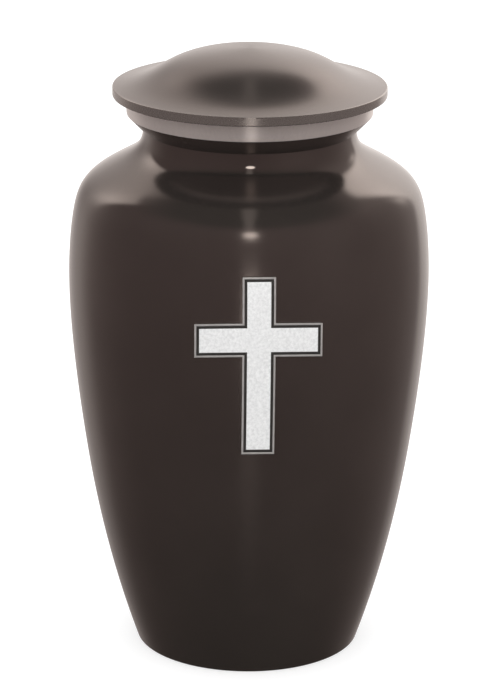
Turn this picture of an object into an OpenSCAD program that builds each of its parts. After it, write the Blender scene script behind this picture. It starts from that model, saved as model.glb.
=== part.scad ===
// Cremation urn in lacquered metal, adult size: a hollow shouldered vessel with
// a collar round its mouth, a saucer-shaped lid with a low dome that lifts off,
// and a Latin cross applied to the front.
//
// Millimetres. +Z is up, the origin is the middle of the underside, and the
// front, where the cross is, faces -Y.
//
// Every round piece is a lathe shape. Its outline is a smooth curve drawn
// through a few guide points, and each guide is a share of the named sizes, so
// the curve keeps its character when a size changes.

/* [Vessel] */
// Radius of the foot at the underside
foot_r = 49.3; // [45:0.1:54]
// Guide radius of the belly (the shell's widest radius is 0.7 mm less)
belly_r = 78.9; // [72:0.1:86]
// Height of the belly guide
belly_z = 170; // [155:1:180]
// Outside radius of the neck
neck_r = 45.7; // [42:0.1:50]
// Height at which the shoulder has run out into the neck
neck_z = 227; // [222:0.5:232]
// Thickness of the vessel's wall
wall = 2.5; // [1.5:0.1:4]
// Thickness of the floor
floor_t = 3; // [2:0.1:6]
// Radius of the foot's outer edge
foot_edge = 0.8; // [0.3:0.1:1.5]

/* [Collar] */
// Height of the collar's lower edge
collar_z = 238.6; // [236:0.1:241]
// Radius of the collar at its lower edge
collar_r = 52.8; // [51.5:0.1:54]
// How much the collar widens towards its top
collar_flare = 0.6; // [0:0.1:1.5]
// Edge radius of the collar
collar_edge = 0.5; // [0.2:0.1:0.9]
// Height of the collar's sloping underside, which starts at a crease on the neck
under_h = 6.8; // [4:0.1:8]

/* [Lid] */
// Height of the seat, where the lid rests on the collar
seat_z = 246.7; // [245:0.1:249]
// Radius of the lid's rim
rim_r = 58.85; // [56.5:0.05:62]
// Height of the rim band
rim_h = 4; // [3:0.1:5]
// Edge radius of the rim band
rim_edge = 0.5; // [0.2:0.1:0.9]
// Height of the top of the dome
top_z = 267; // [263:0.5:272]
// Thickness of the dome
dome_t = 2.5; // [1.5:0.1:3.5]
// Gap between the lid's ring and the neck, on the radius
ring_gap = 0.4; // [0.2:0.1:1]
// Thickness of the ring under the lid
ring_t = 2.5; // [1.5:0.1:4]
// Depth of the ring below the seat
ring_h = 12; // [6:0.5:16]

/* [Cross] */
// Height of the cross
cross_h = 73.4; // [60:0.1:84]
// Width of the cross across its arms
cross_w = 53.2; // [40:0.1:60]
// Width of the bars
bar_w = 13.8; // [10:0.1:18]
// Height of the arms' middle above the middle of the cross
arm_up = 10.9; // [6:0.1:15]
// Height of the middle of the cross above the underside
cross_z = 149.8; // [140:0.1:156]
// Angle at which the outline is cut through the curved front, from level
cross_tilt = 18; // [0:1:25]
// Height of the border above the shell
border_h = 1.1; // [0.8:0.05:1.6]
// Width of the border
border_w = 0.85; // [0.6:0.05:1.6]
// Width of the channel inside the border
channel_w = 1.1; // [0.5:0.05:1.6]
// Height of the channel's floor above the shell
channel_h = 0.35; // [0.25:0.05:0.6]
// Height of the field above the shell
field_h = 0.95; // [0.7:0.05:1.4]

/* [Hidden] */
$fn = 144;
steps = 6;          // straight steps in each span of a curve
eps = 0.001;

// Outline guides of the vessel. Below the belly a guide is [share of the way
// from foot radius to belly radius, share of the belly height]. Above it, it is
// [share of the way from neck radius to belly radius, share of the way from the
// belly height to the neck height].
below = [[0.25, 0.13], [0.56, 0.34], [0.77, 0.565], [0.93, 0.79]];
above = [[0.92, 0.505], [0.78, 0.7175], [0.157, 0.886]];
// Outline guides of the lid: [share of the rim radius, share of the dome rise].
saucer = [[0.905, 0.055], [0.784, 0.19], [0.664, 0.438], [0.545, 0.692],
          [0.329, 0.922], [0.089, 1], [0, 1]];

function mix(a, b, s) = a + (b - a) * s;

// Smooth curve (clamped cubic B-spline) over a list of guide points.
function knots(n) = concat([0, 0, 0], [for (i = [0 : n - 3]) i], [n - 3, n - 3, n - 3]);
function weight(i, p, t, k) =
    p == 0 ? (t >= k[i] && t < k[i + 1] ? 1 : 0)
    : (k[i + p] > k[i] ? (t - k[i]) / (k[i + p] - k[i]) * weight(i, p - 1, t, k) : 0)
    + (k[i + p + 1] > k[i + 1]
        ? (k[i + p + 1] - t) / (k[i + p + 1] - k[i + 1]) * weight(i + 1, p - 1, t, k) : 0);
function on_curve(g, t) =
    let (n = len(g), k = knots(n), u = min(max(t, 0), n - 3 - 1e-9))
    [for (i = [0 : n - 1]) weight(i, 3, u, k)] * g;
// The same point moved h off the curve, away from the metal.
function off_curve(g, t, h) =
    let (e = 1e-4, n = len(g) - 3,
         d = on_curve(g, min(t + e, n)) - on_curve(g, max(t - e, 0)))
    on_curve(g, t) + h * [d[1], -d[0]] / norm(d);
function run(g, h, t0, t1, n) = [for (i = [0 : n]) off_curve(g, mix(t0, t1, i / n), h)];
function reversed(v) = [for (i = [len(v) - 1 : -1 : 0]) v[i]];
function arc(c, r, a0, a1, n) =
    [for (i = [0 : n]) c + r * [cos(mix(a0, a1, i / n)), sin(mix(a0, a1, i / n))]];
// Curve position where the curve moved by h reaches height z, rising.
function t_at_z(g, h, z, lo, hi, n = 30) =
    n == 0 ? (lo + hi) / 2
    : let (m = (lo + hi) / 2)
      off_curve(g, m, h)[1] < z ? t_at_z(g, h, z, m, hi, n - 1) : t_at_z(g, h, z, lo, m, n - 1);
// Curve position where the curve moved by h has come in to radius r.
function t_at_r(g, h, r, lo, hi, n = 30) =
    n == 0 ? (lo + hi) / 2
    : let (m = (lo + hi) / 2)
      off_curve(g, m, h)[0] > r ? t_at_r(g, h, r, m, hi, n - 1) : t_at_r(g, h, r, lo, m, n - 1);

// Vessel outline
foot_lean = atan2(below[0][0] * (belly_r - foot_r), below[0][1] * belly_z);
side = concat(
    [[foot_r - foot_edge * (1 - cos(foot_lean)), foot_edge * (1 - sin(foot_lean))]],
    [for (g = below) [mix(foot_r, belly_r, g[0]), g[1] * belly_z]],
    [[belly_r, belly_z]],
    [for (g = above) [mix(neck_r, belly_r, g[0]), mix(belly_z, neck_z, g[1])]],
    [for (s = [0, 0.5, 1]) [neck_r, mix(neck_z, collar_z, s)]]);
side_n = len(side) - 3;
mouth_r = neck_r - wall;
t_under = t_at_z(side, 0, collar_z - under_h, side_n - 3, side_n);
collar_top_r = collar_r + collar_flare;

// Lid outline
rim_top = seat_z + rim_h;
lid_top = concat(
    [[rim_r - rim_edge, rim_top]],
    [for (g = saucer) [g[0] * (rim_r - rim_edge), mix(rim_top, top_z, g[1])]]);
lid_n = len(lid_top) - 3;
ring_ro = mouth_r - ring_gap;
ring_ri = ring_ro - ring_t;

module body() {
    inner_edge = 4;
    t_floor = t_at_z(side, -wall, floor_t + inner_edge, 0, 3);
    r_floor = off_curve(side, t_floor, -wall)[0];
    inside = run(side, -wall, t_floor, side_n, steps * side_n);
    color([0.20, 0.17, 0.155])
    rotate_extrude()
        polygon(concat(
            [[0, 0]],
            arc([foot_r - foot_edge, foot_edge], foot_edge, -90, -foot_lean, 4),
            [for (i = [1 : steps * side_n]) if (i / steps < t_under - 0.08) on_curve(side, i / steps)],
            // crease, and the collar above it
            [on_curve(side, t_under)],
            arc([collar_r - collar_edge, collar_z + collar_edge], collar_edge, -45, 0, 2),
            arc([collar_top_r - collar_edge, seat_z - collar_edge], collar_edge, 0, 90, 3),
            // mouth and inside
            arc([mouth_r + collar_edge, seat_z - collar_edge], collar_edge, 90, 180, 3),
            reversed(inside),
            arc([r_floor - inner_edge, floor_t + inner_edge], inner_edge, -15, -90, 5),
            [[0, floor_t]]));
}

module lid() {
    t_ring = t_at_r(lid_top, -dome_t, ring_ri, 0, lid_n);
    under = run(lid_top, -dome_t, t_ring, lid_n, 20);
    color([0.47, 0.44, 0.42])
    rotate_extrude()
        polygon(concat(
            [[ring_ri, seat_z - ring_h], [ring_ro - 0.6, seat_z - ring_h],
             [ring_ro, seat_z - ring_h + 0.6], [ring_ro, seat_z]],
            arc([rim_r - rim_edge, seat_z + rim_edge], rim_edge, -90, 0, 3),
            arc([rim_r - rim_edge, rim_top - rim_edge], rim_edge, 0, 80, 3),
            [for (i = [0 : steps * lid_n]) i == steps * lid_n ? [0, top_z]
                : off_curve(lid_top, i / steps, 0)],
            [[0, top_z - dome_t]],
            [for (i = [19 : -1 : 0]) under[i]]));
}

// Ring of space from height h0 to height h1 off the shell's front, over the
// part of the outline that the cross covers.
module skin(h0, h1) {
    i0 = steps * 2;
    i1 = steps * 7;
    rotate_extrude()
        polygon(concat(
            [for (i = [i0 : i1]) off_curve(side, i / steps, h0)],
            [for (i = [i1 : -1 : i0]) off_curve(side, i / steps, h1)]));
}

// Cross outline, with its edges brought in by w.
module cross_2d(w) {
    square([bar_w - 2 * w, cross_h - 2 * w], center = true);
    translate([0, arm_up]) square([cross_w - 2 * w, bar_w - 2 * w], center = true);
}

// The outline carried through the front of the shell.
module cross_prism(w) {
    translate([0, -belly_r, cross_z])
        rotate([90 - cross_tilt, 0, 0])
            translate([0, 0, -18]) linear_extrude(height = 30) cross_2d(w);
}

module cross_emblem() {
    color([0.86, 0.86, 0.85])
    difference() {
        intersection() {
            skin(0, border_h);
            cross_prism(0);
        }
        // field, a little below the border
        intersection() {
            skin(field_h, border_h + 3);
            cross_prism(border_w);
        }
        // channel between field and border
        intersection() {
            skin(channel_h, border_h + 2);
            difference() {
                cross_prism(border_w);
                cross_prism(border_w + channel_w);
            }
        }
    }
}

body();
lid();
cross_emblem();
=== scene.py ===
"""Cremation urn in slate lacquered metal: its looks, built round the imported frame.

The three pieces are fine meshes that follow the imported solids: a spun vessel, its
saucer lid and the cross applied to the front. Sizes are in millimetres in the
tables below and in metres in Blender.
"""

import math

import bpy
import numpy as np
from mathutils import Matrix, Vector


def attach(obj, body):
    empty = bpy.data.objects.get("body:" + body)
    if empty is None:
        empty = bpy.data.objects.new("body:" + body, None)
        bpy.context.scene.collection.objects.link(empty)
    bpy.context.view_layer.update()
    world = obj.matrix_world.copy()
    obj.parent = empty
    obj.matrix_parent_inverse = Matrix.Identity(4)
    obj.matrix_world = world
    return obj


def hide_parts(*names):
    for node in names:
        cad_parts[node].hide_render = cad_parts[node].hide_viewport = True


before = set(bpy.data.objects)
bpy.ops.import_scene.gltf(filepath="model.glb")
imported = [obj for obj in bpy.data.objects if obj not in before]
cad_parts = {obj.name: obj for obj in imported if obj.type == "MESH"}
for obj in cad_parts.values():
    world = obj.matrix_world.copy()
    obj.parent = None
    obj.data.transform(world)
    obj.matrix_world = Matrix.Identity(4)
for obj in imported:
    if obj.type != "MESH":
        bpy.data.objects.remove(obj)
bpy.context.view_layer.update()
MM = 0.001

# --------------------------------------------------------------------- sizes
FOOT_R, BELLY_R, BELLY_Z, NECK_R, NECK_Z = 49.3, 78.9, 170.0, 45.7, 227.0
WALL, FLOOR_T, FOOT_EDGE = 2.5, 3.0, 0.8
COLLAR_Z, COLLAR_R, FLARE, COLLAR_EDGE, UNDER_H = 238.6, 52.8, 0.6, 0.5, 6.8
SEAT_Z, RIM_R, RIM_H, RIM_EDGE, TOP_Z, DOME_T = 246.7, 58.85, 4.0, 0.5, 267.0, 2.5
RING_GAP, RING_T, RING_H = 0.4, 2.5, 12.0
CROSS_H, CROSS_W, BAR_W, ARM_UP, CROSS_Z, TILT = 73.4, 53.2, 13.8, 10.9, 149.8, 18.0

BELOW = [(0.25, 0.13), (0.56, 0.34), (0.77, 0.565), (0.93, 0.79)]
ABOVE = [(0.92, 0.505), (0.78, 0.7175), (0.157, 0.886)]
SAUCER = [(0.905, 0.055), (0.784, 0.19), (0.664, 0.438), (0.545, 0.692), (0.329, 0.922), (0.089, 1.0), (0.0, 1.0)]


def mix(a, b, s):
    return a + (b - a) * s


# -------------------------------------------------------------------- curves
class Spline:
    """Clamped cubic B-spline over guide points, read at any t from 0 to its number of spans."""

    def __init__(self, guides):
        self.g = np.array(guides, float)
        self.n = len(guides) - 3
        self.k = np.array([0] * 3 + list(range(self.n + 1)) + [self.n] * 3, float)

    def at(self, t):
        t = np.clip(np.atleast_1d(np.asarray(t, float)), 0, self.n - 1e-9)
        k, m = self.k, len(self.g)
        b = [((t >= k[i]) & (t < k[i + 1])).astype(float) for i in range(m + 3)]
        for p in (1, 2, 3):
            nb = []
            for i in range(m + 3 - p):
                v = np.zeros_like(t)
                if k[i + p] > k[i]:
                    v += (t - k[i]) / (k[i + p] - k[i]) * b[i]
                if k[i + p + 1] > k[i + 1]:
                    v += (k[i + p + 1] - t) / (k[i + p + 1] - k[i + 1]) * b[i + 1]
                nb.append(v)
            b = nb
        return np.stack(b[:m], 1) @ self.g

    def off(self, t, h):
        """The curve moved h off the metal."""
        t = np.atleast_1d(np.asarray(t, float))
        d = self.at(np.minimum(t + 1e-4, self.n)) - self.at(np.maximum(t - 1e-4, 0))
        d /= np.linalg.norm(d, axis=1)[:, None]
        return self.at(t) + h * np.stack([d[:, 1], -d[:, 0]], 1)


lean = math.atan2(BELOW[0][0] * (BELLY_R - FOOT_R), BELOW[0][1] * BELLY_Z)
side = Spline(
    [(FOOT_R - FOOT_EDGE * (1 - math.cos(lean)), FOOT_EDGE * (1 - math.sin(lean)))]
    + [(mix(FOOT_R, BELLY_R, a), b * BELLY_Z) for a, b in BELOW]
    + [(BELLY_R, BELLY_Z)]
    + [(mix(NECK_R, BELLY_R, a), mix(BELLY_Z, NECK_Z, b)) for a, b in ABOVE]
    + [(NECK_R, mix(NECK_Z, COLLAR_Z, s)) for s in (0, 0.5, 1)]
)
RIM_TOP = SEAT_Z + RIM_H
saucer = Spline(
    [(RIM_R - RIM_EDGE, RIM_TOP)]
    + [(a * (RIM_R - RIM_EDGE), mix(RIM_TOP, TOP_Z, b)) for a, b in SAUCER]
)
MOUTH_R = NECK_R - WALL
COLLAR_TOP_R = COLLAR_R + FLARE


def arc(c, r, a0, a1, n):
    a = np.radians(np.linspace(a0, a1, n + 1))
    return [(c[0] + r * math.cos(x), c[1] + r * math.sin(x)) for x in a]


def line(p, q, n):
    """Points after p up to q, closer together near both ends."""
    s = [(1 - math.cos(math.pi * i / n)) / 2 for i in range(1, n + 1)]
    return [(mix(p[0], q[0], x), mix(p[1], q[1], x)) for x in s]


# -------------------------------------------------------------------- meshes
def new_object(name, verts, faces, face_mats, mats, sharp=32):
    me = bpy.data.meshes.new(name)
    me.from_pydata([tuple(v) for v in verts], [], faces)
    for m in mats:
        me.materials.append(m)
    me.polygons.foreach_set("material_index", face_mats)
    me.polygons.foreach_set("use_smooth", [True] * len(me.polygons))
    me.update()
    me.set_sharp_from_angle(angle=math.radians(sharp))
    me.validate()
    ob = bpy.data.objects.new(name, me)
    bpy.context.scene.collection.objects.link(ob)
    return ob


def lathe(name, runs, mats, seg):
    """Spins a closed outline. runs is [(material index, [points])], each run going on from the last point."""
    pts, band = [], []
    for mat, run in runs:
        for p in run:
            if pts and math.dist(p, pts[-1]) < 1e-6:
                continue
            if pts:
                band.append(mat)
            pts.append(p)
    closed = pts[0][0] > 1e-9
    if closed:
        if math.dist(pts[0], pts[-1]) < 1e-6:
            pts.pop()
            ring_pairs = [(i, (i + 1) % len(pts)) for i in range(len(pts))]
        else:
            ring_pairs = [(i, (i + 1) % len(pts)) for i in range(len(pts))]
            band.append(band[-1])
    else:
        ring_pairs = [(i, i + 1) for i in range(len(pts) - 1)]
    ang = np.arange(seg) * 2 * math.pi / seg
    cs, sn = np.cos(ang), np.sin(ang)
    verts, start = [], []
    for r, z in pts:
        start.append(len(verts))
        if r < 1e-9:
            verts.append((0.0, 0.0, z * MM))
        else:
            verts.extend(zip(r * cs * MM, r * sn * MM, [z * MM] * seg))
    faces, fm = [], []
    for (i, j), m in zip(ring_pairs, band):
        a, b = start[i], start[j]
        pa, pb = pts[i][0] < 1e-9, pts[j][0] < 1e-9
        for k in range(seg):
            l = (k + 1) % seg
            if pa:
                faces.append((a, b + l, b + k))
            elif pb:
                faces.append((a + k, a + l, b))
            else:
                faces.append((a + k, a + l, b + l, b + k))
            fm.append(m)
    return new_object(name, verts, faces, fm, mats)


# ----------------------------------------------------------------- materials
def material(name):
    m = bpy.data.materials.new(name)
    m.use_nodes = True
    nt = m.node_tree
    nt.nodes.clear()
    out = nt.nodes.new("ShaderNodeOutputMaterial")
    bs = nt.nodes.new("ShaderNodeBsdfPrincipled")
    nt.links.new(bs.outputs[0], out.inputs[0])
    return m, nt, bs


def node(nt, kind, **kw):
    n = nt.nodes.new(kind)
    for k, v in kw.items():
        setattr(n, k, v)
    return n


def math_node(nt, op, a, b=None, clamp=False):
    n = node(nt, "ShaderNodeMath", operation=op, use_clamp=clamp)
    for i, v in enumerate((a, b)):
        if v is None:
            continue
        if isinstance(v, (int, float)):
            n.inputs[i].default_value = v
        else:
            nt.links.new(v, n.inputs[i])
    return n.outputs[0]


def map_range(nt, v, a0, a1, b0, b1, smooth=False, clamp=True):
    n = node(nt, "ShaderNodeMapRange", clamp=clamp)
    if smooth:
        n.interpolation_type = "SMOOTHSTEP"
    nt.links.new(v, n.inputs[0])
    for i, x in zip((1, 2, 3, 4), (a0, a1, b0, b1)):
        n.inputs[i].default_value = x
    return n.outputs[0]


def noise(nt, vec, scale, detail=2.0, rough=0.5, w=None, distortion=0.0):
    n = node(nt, "ShaderNodeTexNoise", noise_dimensions="4D" if w is not None else "3D")
    nt.links.new(vec, n.inputs["Vector"])
    n.inputs["Scale"].default_value = scale
    n.inputs["Detail"].default_value = detail
    n.inputs["Roughness"].default_value = rough
    n.inputs["Distortion"].default_value = distortion
    if w is not None:
        nt.links.new(w, n.inputs["W"])
    return n.outputs[0]


def tinted(nt, colour, factor):
    """colour times factor, for the base colour socket."""
    n = node(nt, "ShaderNodeVectorMath", operation="SCALE")
    n.inputs[0].default_value = colour
    nt.links.new(factor, n.inputs["Scale"])
    return n.outputs[0]


def turned_coords(nt):
    """Where a point is on a turned surface: the object position, and a vector that runs
    fast along the outline and slowly round it, so that noise read there gives tool lines."""
    tc = node(nt, "ShaderNodeTexCoord")
    pos = tc.outputs["Object"]
    sep = node(nt, "ShaderNodeSeparateXYZ")
    nt.links.new(pos, sep.inputs[0])
    x, y, z = sep.outputs
    r = math_node(nt, "SQRT", math_node(nt, "ADD", math_node(nt, "MULTIPLY", x, x), math_node(nt, "MULTIPLY", y, y)))
    comb = node(nt, "ShaderNodeCombineXYZ")
    nt.links.new(r, comb.inputs[0])
    nt.links.new(z, comb.inputs[1])
    nt.links.new(math_node(nt, "MULTIPLY", x, 0.018), comb.inputs[2])
    w = math_node(nt, "MULTIPLY", y, 0.018)
    return pos, comb.outputs[0], w, (x, y, z, r)


def bump(nt, height, strength, distance, normal=None):
    n = node(nt, "ShaderNodeBump")
    n.inputs["Strength"].default_value = strength
    n.inputs["Distance"].default_value = distance
    nt.links.new(height, n.inputs["Height"])
    if normal is not None:
        nt.links.new(normal, n.inputs["Normal"])
    return n.outputs[0]


def turned_metal(name, colour, metallic, rough, spread, lines, aniso, mottle=0.06, polished=()):
    """Turned metal under a tinted lacquer: fine tool lines, faint cloudiness and small
    changes of gloss. lines is the depth of the tool lines in metres. polished is
    a list of (low, high, share): between the heights low and high, in metres, the
    roughness falls to that share of what it is below."""
    m, nt, bs = material(name)
    pos, turn, w, (_, _, z, _) = turned_coords(nt)
    fine = noise(nt, turn, 2600.0, 2.0, 0.6, w=math_node(nt, "MULTIPLY", w, 2600.0))
    wide = noise(nt, turn, 520.0, 2.0, 0.55, w=math_node(nt, "MULTIPLY", w, 520.0))
    cloud = noise(nt, pos, 22.0, 3.0, 0.55)
    speck = noise(nt, pos, 900.0, 2.0, 0.6)
    # colour: cloudiness, with the tool lines just showing through the lacquer
    f = math_node(nt, "ADD", map_range(nt, cloud, 0.3, 0.7, 1 - mottle, 1 + mottle),
                  map_range(nt, fine, 0.25, 0.75, -mottle * 0.7, mottle * 0.7))
    f = math_node(nt, "ADD", f, map_range(nt, speck, 0.3, 0.7, -mottle * 0.35, mottle * 0.35))
    f = math_node(nt, "ADD", f, map_range(nt, wide, 0.3, 0.7, -mottle * 0.6, mottle * 0.6))
    nt.links.new(tinted(nt, colour, f), bs.inputs["Base Color"])
    # gloss
    g = math_node(nt, "ADD", map_range(nt, cloud, 0.3, 0.7, rough - spread * 0.6, rough + spread * 0.6),
                  map_range(nt, wide, 0.3, 0.7, -spread, spread))
    for low, high, share in polished:
        g = math_node(nt, "MULTIPLY", g, map_range(nt, z, low, high, 1.0, share, smooth=True))
    nt.links.new(g, bs.inputs["Roughness"])
    # relief
    h = math_node(nt, "ADD", math_node(nt, "MULTIPLY", fine, 0.6), wide)
    if lines:
        nt.links.new(bump(nt, h, 1.0, lines), bs.inputs["Normal"])
    bs.inputs["Metallic"].default_value = metallic
    bs.inputs["Anisotropic"].default_value = aniso
    bs.inputs["Anisotropic Rotation"].default_value = 0.25
    return m


lacquer = turned_metal("slate_lacquer", (0.17, 0.146, 0.135), 0.9, 0.2, 0.02, 1.5e-6, 0.75,
                       polished=[(0.2045, 0.2095, 0.6), (0.2215, 0.2265, 0.46)])
# a lighter copy of the slate lacquer for the cove under the collar: painted light, lighter than the same lacquer on the
# rest of the vessel
painted_light_under_lacquer = turned_metal("slate_under_painted_light", (0.25, 0.216, 0.2), 0.9, 0.26, 0.01, 0.0, 0.75, mottle=0.03)
lid_lacquer = turned_metal("slate_lid_lacquer", (0.163, 0.14, 0.13), 0.9, 0.23, 0.02, 2.0e-6, 0.6)
collar_satin = turned_metal("collar_satin", (0.68, 0.617, 0.588), 0.66, 0.32, 0.02, 0.0, 0.86, mottle=0.05)
rim_satin = turned_metal("rim_satin", (0.3, 0.268, 0.25), 0.8, 0.27, 0.01, 0.0, 0.8, mottle=0.03)
rim_edge = turned_metal("rim_edge", (0.34, 0.305, 0.285), 0.85, 0.1, 0.005, 0.0, 0.2, mottle=0.03)
inside_plain = turned_metal("inside_plain", (0.2, 0.185, 0.175), 1.0, 0.45, 0.03, 3.0e-6, 0.2)


def emblem_field():
    """Frosted pale silver: a close random grain, like fine blasting."""
    m, nt, bs = material("emblem_frost")
    tc = node(nt, "ShaderNodeTexCoord")
    pos = tc.outputs["Object"]
    grain = noise(nt, pos, 1900.0, 2.0, 0.6)
    coarse = noise(nt, pos, 850.0, 2.0, 0.55)
    f = math_node(nt, "ADD", map_range(nt, grain, 0.3, 0.7, 0.95, 1.05), map_range(nt, coarse, 0.32, 0.68, -0.09, 0.09))
    nt.links.new(tinted(nt, (0.83, 0.83, 0.828), f), bs.inputs["Base Color"])
    nt.links.new(map_range(nt, grain, 0.3, 0.7, 0.5, 0.68), bs.inputs["Roughness"])
    h = math_node(nt, "ADD", math_node(nt, "MULTIPLY", grain, 0.4), coarse)
    nt.links.new(bump(nt, h, 0.5, 6.0e-5), bs.inputs["Normal"])
    bs.inputs["Metallic"].default_value = 0.12
    return m


def emblem_border():
    """Bright bevelled edge, smooth, with a faint cloudiness."""
    m, nt, bs = material("emblem_silver")
    tc = node(nt, "ShaderNodeTexCoord")
    pos = tc.outputs["Object"]
    n1 = noise(nt, pos, 420.0, 3.0, 0.6)
    nt.links.new(tinted(nt, (0.62, 0.6, 0.585), map_range(nt, n1, 0.3, 0.7, 0.92, 1.07)), bs.inputs["Base Color"])
    nt.links.new(map_range(nt, n1, 0.3, 0.7, 0.3, 0.38), bs.inputs["Roughness"])
    bs.inputs["Metallic"].default_value = 0.55
    return m


def emblem_channel():
    m, nt, bs = material("emblem_dark")
    tc = node(nt, "ShaderNodeTexCoord")
    pos = tc.outputs["Object"]
    n1 = noise(nt, pos, 700.0, 3.0, 0.6)
    nt.links.new(tinted(nt, (0.05, 0.045, 0.042), map_range(nt, n1, 0.3, 0.7, 0.8, 1.25)), bs.inputs["Base Color"])
    nt.links.new(map_range(nt, n1, 0.3, 0.7, 0.45, 0.65), bs.inputs["Roughness"])
    nt.links.new(bump(nt, n1, 0.3, 1.5e-5), bs.inputs["Normal"])
    bs.inputs["Metallic"].default_value = 0.3
    return m


# -------------------------------------------------------------------- vessel
SEG = 224
flat_end = FOOT_R - FOOT_EDGE
tn = np.linspace(side.n - 3, side.n, 4001)
t_under = float(np.interp(COLLAR_Z - UNDER_H, side.at(tn)[:, 1], tn))
crease = side.at(t_under)[0]
outer = [tuple(p) for p in side.off(np.linspace(0, t_under, 136), 0)]
edge_c = (COLLAR_R - COLLAR_EDGE, COLLAR_Z + COLLAR_EDGE)
under_end = (edge_c[0] + COLLAR_EDGE * math.cos(math.pi / 4), edge_c[1] - COLLAR_EDGE * math.sin(math.pi / 4))

inner_edge = 4.0
ts = np.linspace(0, 3, 4001)
ins = side.off(ts, -WALL)
t_floor = float(np.interp(FLOOR_T + inner_edge, ins[:, 1], ts))
r_floor = float(side.off(t_floor, -WALL)[0, 0])
inside = [tuple(p) for p in side.off(np.linspace(side.n, t_floor, 7 * side.n + 1), -WALL)]

body = lathe(
    "urn_body",
    [
        (0, [(0, 0)] + line((0, 0), (flat_end, 0), 8)),
        (0, arc((flat_end, FOOT_EDGE), FOOT_EDGE, -90, -math.degrees(lean), 8)),
        (0, outer),
        # the cove under the collar takes material 3, the lighter copy of the lacquer: painted light
        (3, line(crease, under_end, 7)),
        (1, arc(edge_c, COLLAR_EDGE, -45, 0, 5)),
        (1, line((COLLAR_R, COLLAR_Z + COLLAR_EDGE), (COLLAR_TOP_R, SEAT_Z - COLLAR_EDGE), 8)),
        (1, arc((COLLAR_TOP_R - COLLAR_EDGE, SEAT_Z - COLLAR_EDGE), COLLAR_EDGE, 0, 90, 7)),
        (1, line((COLLAR_TOP_R - COLLAR_EDGE, SEAT_Z), (MOUTH_R + COLLAR_EDGE, SEAT_Z), 5)),
        (2, arc((MOUTH_R + COLLAR_EDGE, SEAT_Z - COLLAR_EDGE), COLLAR_EDGE, 90, 180, 6)),
        (2, inside),
        (2, arc((r_floor - inner_edge, FLOOR_T + inner_edge), inner_edge, -15, -90, 8)),
        (2, line((r_floor - inner_edge, FLOOR_T), (0, FLOOR_T), 8)),
    ],
    [lacquer, collar_satin, inside_plain, painted_light_under_lacquer],
    SEG,
)
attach(body, "root")
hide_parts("body")

# ----------------------------------------------------------------------- lid
ring_ro = MOUTH_R - RING_GAP
ring_ri = ring_ro - RING_T
tl = np.linspace(0, saucer.n, 4001)
und = saucer.off(tl, -DOME_T)
t_ring = float(np.interp(-ring_ri, -und[:, 0], tl))
top_run = [tuple(p) for p in saucer.off(np.linspace(0, saucer.n, 20 * saucer.n + 1), 0)]
top_run[-1] = (0.0, TOP_Z)
under = [tuple(p) for p in saucer.off(np.linspace(saucer.n, t_ring, 45), -DOME_T)]
under[0] = (0.0, TOP_Z - DOME_T)

lid = lathe(
    "urn_lid",
    [
        (2, [(0, TOP_Z - DOME_T)] + under[1:]),
        (2, line(under[-1], (ring_ri, SEAT_Z - RING_H), 6)),
        (2, line((ring_ri, SEAT_Z - RING_H), (ring_ro - 0.6, SEAT_Z - RING_H), 3)),
        (2, line((ring_ro - 0.6, SEAT_Z - RING_H), (ring_ro, SEAT_Z - RING_H + 0.6), 3)),
        (2, line((ring_ro, SEAT_Z - RING_H + 0.6), (ring_ro, SEAT_Z), 6)),
        (1, line((ring_ro, SEAT_Z), (RIM_R - RIM_EDGE, SEAT_Z), 6)),
        (1, arc((RIM_R - RIM_EDGE, SEAT_Z + RIM_EDGE), RIM_EDGE, -90, 0, 8)),
        (1, line((RIM_R, SEAT_Z + RIM_EDGE), (RIM_R, RIM_TOP - RIM_EDGE), 6)),
        (3, arc((RIM_R - RIM_EDGE, RIM_TOP - RIM_EDGE), RIM_EDGE, 0, 80, 9)),
        (0, top_run),
    ],
    [lid_lacquer, rim_satin, inside_plain, rim_edge],
    SEG,
)
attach(lid, "root")
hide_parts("lid")

# --------------------------------------------------------------------- cross
c18, s18 = math.cos(math.radians(TILT)), math.sin(math.radians(TILT))
_tables = {}


def on_shell(x, s, h):
    """The point h above the shell on the line that the cut follows through (x, s) in the cross's own plane."""
    x, s = np.asarray(x, float), np.asarray(s, float)
    key = round(h, 4)
    if key not in _tables:
        p = side.off(np.linspace(2.2, 7.4, 1400), h)
        _tables[key] = (p[:, 1], p[:, 0])
    zs, rs = _tables[key]
    lo, hi = np.full(x.shape, -18.0), np.full(x.shape, 12.0)
    for _ in range(44):
        m = (lo + hi) / 2
        y = -BELLY_R + s * s18 - m * c18
        z = CROSS_Z + s * c18 + m * s18
        out = np.hypot(x, y) > np.interp(z, zs, rs)
        hi, lo = np.where(out, m, hi), np.where(out, lo, m)
    m = (lo + hi) / 2
    return np.stack([x, -BELLY_R + s * s18 - m * c18, CROSS_Z + s * c18 + m * s18], -1)


# lines of the cross's grid, counted from its lower left: (number of steps in each stretch)
STEP = 0.62
n_bar = round(BAR_W / STEP)
n_arm = round((CROSS_W - BAR_W) / 2 / STEP)
n_top = round((CROSS_H / 2 - ARM_UP - BAR_W / 2) / STEP)
n_low = round((CROSS_H / 2 + ARM_UP - BAR_W / 2) / STEP)


def grid_lines(w):
    xa, xb = CROSS_W / 2 - w, BAR_W / 2 - w
    y0, y1 = -CROSS_H / 2 + w, CROSS_H / 2 - w
    ya, yb = ARM_UP - BAR_W / 2 + w, ARM_UP + BAR_W / 2 - w
    xs = np.concatenate([np.linspace(-xa, -xb, n_arm + 1)[:-1], np.linspace(-xb, xb, n_bar + 1)[:-1], np.linspace(xb, xa, n_arm + 1)])
    ys = np.concatenate([np.linspace(y0, ya, n_low + 1)[:-1], np.linspace(ya, yb, n_bar + 1)[:-1], np.linspace(yb, y1, n_top + 1)])
    return xs, ys


I0, I1, I2, I3 = 0, n_arm, n_arm + n_bar, 2 * n_arm + n_bar
J0, J1, J2, J3 = 0, n_low, n_low + n_bar, n_low + n_bar + n_top


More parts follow.
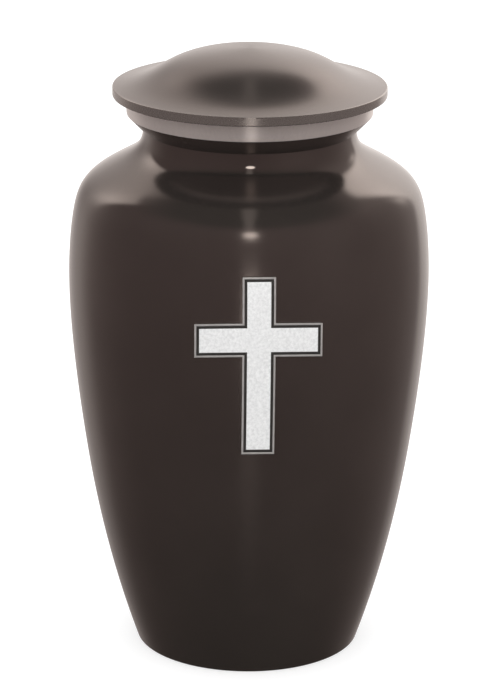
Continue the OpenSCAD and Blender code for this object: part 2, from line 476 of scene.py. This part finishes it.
def outline_ij():
    """Grid corners round the cross, anticlockwise from the bottom left of the shaft."""
    path = [(I1, J0), (I2, J0), (I2, J1), (I3, J1), (I3, J2), (I2, J2), (I2, J3), (I1, J3), (I1, J2), (I0, J2), (I0, J1), (I1, J1)]
    out = []
    for a, b in zip(path, path[1:] + path[:1]):
        n = abs(a[0] - b[0]) + abs(a[1] - b[1])
        for i in range(n):
            out.append((a[0] + (b[0] - a[0]) * i // n, a[1] + (b[1] - a[1]) * i // n))
    return out


loop_ij = outline_ij()
# (inset from the outline, height above the shell, material of the band that ends here)
SILVER, DARK, FROST = 0, 1, 2
section = [
    (0.0, -0.06, SILVER), (0.0, 0.72, SILVER), (0.035, 0.86, SILVER), (0.11, 0.98, SILVER), (0.22, 1.06, SILVER),
    (0.34, 1.1, SILVER), (0.52, 1.1, SILVER), (0.65, 1.06, SILVER), (0.76, 0.97, SILVER), (0.82, 0.84, SILVER),
    (0.85, 0.7, SILVER), (0.87, 0.42, DARK), (0.95, 0.35, DARK), (1.4, 0.34, DARK), (1.86, 0.35, DARK),
    (1.93, 0.42, DARK), (1.95, 0.78, DARK), (1.97, 0.85, FROST), (2.03, 0.91, FROST), (2.12, 0.94, FROST), (2.3, 0.95, FROST),
]

verts, faces, fm = [], [], []


def add(points):
    i = len(verts)
    verts.extend(tuple(p * MM) for p in points)
    return i


rings = []
for w, h, m in section:
    xs, ys = grid_lines(w)
    rings.append(add(on_shell([xs[i] for i, j in loop_ij], [ys[j] for i, j in loop_ij], h)))
n = len(loop_ij)
for (a, b), (_, _, m) in zip(zip(rings, rings[1:]), section[1:]):
    for k in range(n):
        l = (k + 1) % n
        faces.append((a + k, a + l, b + l, b + k))
        fm.append(m)


def inside_cross(i, j):
    return (I1 <= i <= I2) or (J1 <= j <= J2)


def fill(ring, w, h, m, front, grain=0.0):
    """Closes the outline that ring holds with a grid."""
    xs, ys = grid_lines(w)
    index = {ij: ring + k for k, ij in enumerate(loop_ij)}
    todo = [(i, j) for i in range(I3 + 1) for j in range(J3 + 1) if inside_cross(i, j) and (i, j) not in index]
    pts = on_shell([xs[i] for i, j in todo], [ys[j] for i, j in todo], h)
    if grain:
        rng = np.random.default_rng(7)
        pts = pts + rng.uniform(-grain, grain, len(pts))[:, None] * np.array([0, -c18, s18])
    base = add(pts)
    index.update({ij: base + k for k, ij in enumerate(todo)})
    for i in range(I3):
        for j in range(J3):
            if (I1 <= i < I2) or (J1 <= j < J2):
                q = (index[i, j], index[i + 1, j], index[i + 1, j + 1], index[i, j + 1])
                faces.append(q if front else q[::-1])
                fm.append(m)


fill(rings[-1], section[-1][0], section[-1][1], FROST, True, grain=0.012)
fill(rings[0], 0.0, section[0][1], SILVER, False)
cross = new_object("urn_cross", verts, faces, fm, [emblem_border(), emblem_channel(), emblem_field()], sharp=38)
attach(cross, "root")
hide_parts("cross_emblem")

# -------------------------------------------------------------------- studio
CAM_AZ, CAM_D, CAM_H, CAM_PITCH, CAM_ROLL = 3.17, 1374.7, 574.1, 17.84, 0.33
az = math.radians(CAM_AZ)


def toward(azimuth, elevation):
    """Unit vector, azimuth counted from the camera's own side of the urn and growing to its right."""
    a, e = math.radians(azimuth) - az, math.radians(elevation)
    return Vector((math.sin(a) * math.cos(e), -math.cos(a) * math.cos(e), math.sin(e)))


cam_data = bpy.data.cameras.new("camera")
cam_data.lens = 169.51
cam_data.sensor_width = 36
cam_data.clip_start, cam_data.clip_end = 0.05, 60
cam = bpy.data.objects.new("camera", cam_data)
bpy.context.scene.collection.objects.link(cam)
aim, p = az + math.radians(0.027), math.radians(CAM_PITCH)
look = Vector((math.sin(aim) * math.cos(p), math.cos(aim) * math.cos(p), -math.sin(p)))
cam.rotation_mode = "QUATERNION"
cam.rotation_quaternion = (look.to_track_quat("-Z", "Y").to_matrix() @ Matrix.Rotation(math.radians(CAM_ROLL), 3, "Z")).to_quaternion()
cam.location = Vector((-math.sin(az) * CAM_D, -math.cos(az) * CAM_D, CAM_H)) * MM
bpy.context.scene.camera = cam

# pale floor
me = bpy.data.meshes.new("floor")
k = 48
me.from_pydata(
    [(0, 0, -0.0001)] + [(7 * math.cos(2 * math.pi * i / k), 7 * math.sin(2 * math.pi * i / k), -0.0001) for i in range(k)],
    [], [(0, 1 + i, 1 + (i + 1) % k) for i in range(k)])
floor = bpy.data.objects.new("floor", me)
bpy.context.scene.collection.objects.link(floor)
fmat, fnt, fbs = material("floor_pale")
fbs.inputs["Base Color"].default_value = (0.55, 0.55, 0.55, 1)
fbs.inputs["Roughness"].default_value = 0.9
fbs.inputs["Specular IOR Level"].default_value = 0.0
fbs.inputs["Emission Color"].default_value = (1, 1, 1, 1)
fbs.inputs["Emission Strength"].default_value = 0.55
me.materials.append(fmat)
floor.visible_glossy = False
floor.visible_diffuse = False

# soft studio: a bright sweep behind the urn, darker room in front
world = bpy.data.worlds.new("studio")
bpy.context.scene.world = world
world.use_nodes = True
wt = world.node_tree
wt.nodes.clear()
wout = node(wt, "ShaderNodeOutputWorld")
tc = node(wt, "ShaderNodeTexCoord")
rot = node(wt, "ShaderNodeVectorRotate", rotation_type="Z_AXIS")
rot.inputs["Angle"].default_value = az
wt.links.new(tc.outputs["Generated"], rot.inputs["Vector"])
sep = node(wt, "ShaderNodeSeparateXYZ")
wt.links.new(rot.outputs[0], sep.inputs[0])
wx, wy, wz = sep.outputs
DEG = 180 / math.pi
behind = math_node(wt, "MULTIPLY", math_node(wt, "ARCTAN2", wx, wy), DEG)      # 0 straight behind, + to the right
above = math_node(wt, "MULTIPLY", math_node(wt, "ARCSINE", wz), DEG)


def step(v, a, b):
    return map_range(wt, v, a, b, 0.0, 1.0, smooth=True) if a < b else map_range(wt, v, b, a, 1.0, 0.0, smooth=True)


def times(*v):
    out = v[0]
    for x in v[1:]:
        out = math_node(wt, "MULTIPLY", out, x)
    return out


def plus(*v):
    out = v[0]
    for x in v[1:]:
        out = math_node(wt, "ADD", out, x)
    return out


def blob(b0, e0, sb, se):
    db = math_node(wt, "DIVIDE", math_node(wt, "SUBTRACT", behind, b0), sb)
    de = math_node(wt, "DIVIDE", math_node(wt, "SUBTRACT", above, e0), se)
    q = plus(times(db, db), times(de, de))
    return math_node(wt, "EXPONENT", times(q, -0.5))


GAIN = 0.25 / 0.152
REAR = 0.55
sweep_right = times(step(behind, -22, 12), step(behind, 44.5, 36), step(above, 49.5, 44), step(above, -36, -5),
                    map_range(wt, above, -10, 34, 0.72, 1.76),
                    plus(1.0, times(blob(14, 3, 9, 14), -0.36), times(blob(16, 42, 12, 9), -0.2), times(blob(38, 32, 7, 10), 0.3)))
high_up = step(above, 6, 20)
left_edge = plus(times(step(behind, -64, -39), plus(1.0, times(high_up, -1.0))), times(step(behind, -60, -51), high_up))
sweep_left = times(left_edge, step(behind, 12, -22), step(above, 62, 42), step(above, -42, -10),
                   map_range(wt, above, 0, 34, 0.42, 0.72), plus(1.0, times(blob(-28, 3, 9, 12), -0.57), times(blob(-13, -10, 8, 10), 0.15)),
                   plus(1.0, times(step(behind, -36, -46), step(above, 44, 49), -1.0)))
middle = times(step(behind, -40, -8), step(behind, 40, 14), step(above, 78, 34), step(above, -30, -6), 0.25)
hot = plus(times(blob(-48, 31, 9, 9), step(behind, -61, -52), 1.0), times(blob(-60, 4, 8, 13), 0.13), times(blob(45, 20, 4, 6), 1.0))
spill = plus(times(step(behind, 112, 38), step(behind, -10, 20), step(above, 60, 40), step(above, -52, -22), map_range(wt, above, -25, 10, 0.14, 0.25)),
             times(blob(122, 8, 22, 30), 0.055), times(blob(48, 3, 10, 14), 0.14))
spill_left = times(step(behind, -100, -50), step(behind, -10, -30), step(above, 40, 10), step(above, -52, -17), 0.1)
notch = plus(1.0, times(blob(0, 35, 15, 18), -0.3))
low_strip = times(step(math_node(wt, "ABSOLUTE", math_node(wt, "SUBTRACT", wx, 0.022)), 0.092, 0.046), step(wy, 0, -0.2), step(above, -19.5, -16.5),
                  step(above, -9, -12), 2.7)
strip = times(step(math_node(wt, "ABSOLUTE", wx), 0.06, 0.02), step(wy, -0.9, -0.8), step(wy, 0.62, 0.3), step(wz, 0.1, 0.3), 0.19)
rear = times(plus(times(plus(sweep_right, sweep_left, middle, hot, spill, spill_left), notch, REAR), strip, low_strip), GAIN)
front = 0.042 * GAIN
front_mid = times(times(step(above, -57, -12), step(above, 66, 40), 0.042), GAIN)


def coloured(v, c):
    n = node(wt, "ShaderNodeVectorMath", operation="SCALE")
    n.inputs[0].default_value = c
    wt.links.new(v, n.inputs["Scale"])
    return n.outputs[0]


warm_mid = node(wt, "ShaderNodeVectorMath", operation="ADD")
warm_mid.inputs[0].default_value = tuple(front * c for c in (1.1, 0.97, 0.86))
wt.links.new(coloured(front_mid, (1.5, 0.95, 0.98)), warm_mid.inputs[1])
tot = node(wt, "ShaderNodeVectorMath", operation="ADD")
wt.links.new(coloured(rear, (1.04, 1.0, 0.955)), tot.inputs[0])
wt.links.new(warm_mid.outputs[0], tot.inputs[1])

bg_gloss = node(wt, "ShaderNodeBackground")
wt.links.new(tot.outputs[0], bg_gloss.inputs[0])
bg_soft = node(wt, "ShaderNodeBackground")
bg_soft.inputs[0].default_value = (1, 1, 1, 1)
wt.links.new(map_range(wt, wz, -0.5, 0.7, 0.72, 1.56), bg_soft.inputs[1])
bg_white = node(wt, "ShaderNodeBackground")
bg_white.inputs[0].default_value = (1, 1, 1, 1)
bg_white.inputs[1].default_value = 1.05
lp = node(wt, "ShaderNodeLightPath")
mix1 = node(wt, "ShaderNodeMixShader")
wt.links.new(lp.outputs["Is Glossy Ray"], mix1.inputs[0])
wt.links.new(bg_soft.outputs[0], mix1.inputs[1])
wt.links.new(bg_gloss.outputs[0], mix1.inputs[2])
mix2 = node(wt, "ShaderNodeMixShader")
wt.links.new(lp.outputs["Is Camera Ray"], mix2.inputs[0])
wt.links.new(mix1.outputs[0], mix2.inputs[1])
wt.links.new(bg_white.outputs[0], mix2.inputs[2])
wt.links.new(mix2.outputs[0], wout.inputs[0])


def lamp(name, azimuth, elevation, dist, width, height, power, colour=(1, 0.97, 0.93), diffuse=False):
    d = bpy.data.lights.new(name, "AREA")
    d.shape = "ELLIPSE"
    d.size, d.size_y = width, height
    d.energy = power
    d.color = colour
    o = bpy.data.objects.new(name, d)
    bpy.context.scene.collection.objects.link(o)
    v = toward(azimuth, elevation)
    o.location = v * dist + Vector((0, 0, 0.22))
    o.rotation_mode = "QUATERNION"
    o.rotation_quaternion = (-v).to_track_quat("-Z", "Y")
    o.visible_diffuse = diffuse
    return o


lamp("key_lamp", 1.0, 33, 1.7, 0.25, 0.38, 1.02)

bpy.context.scene.view_settings.view_transform = "Standard"
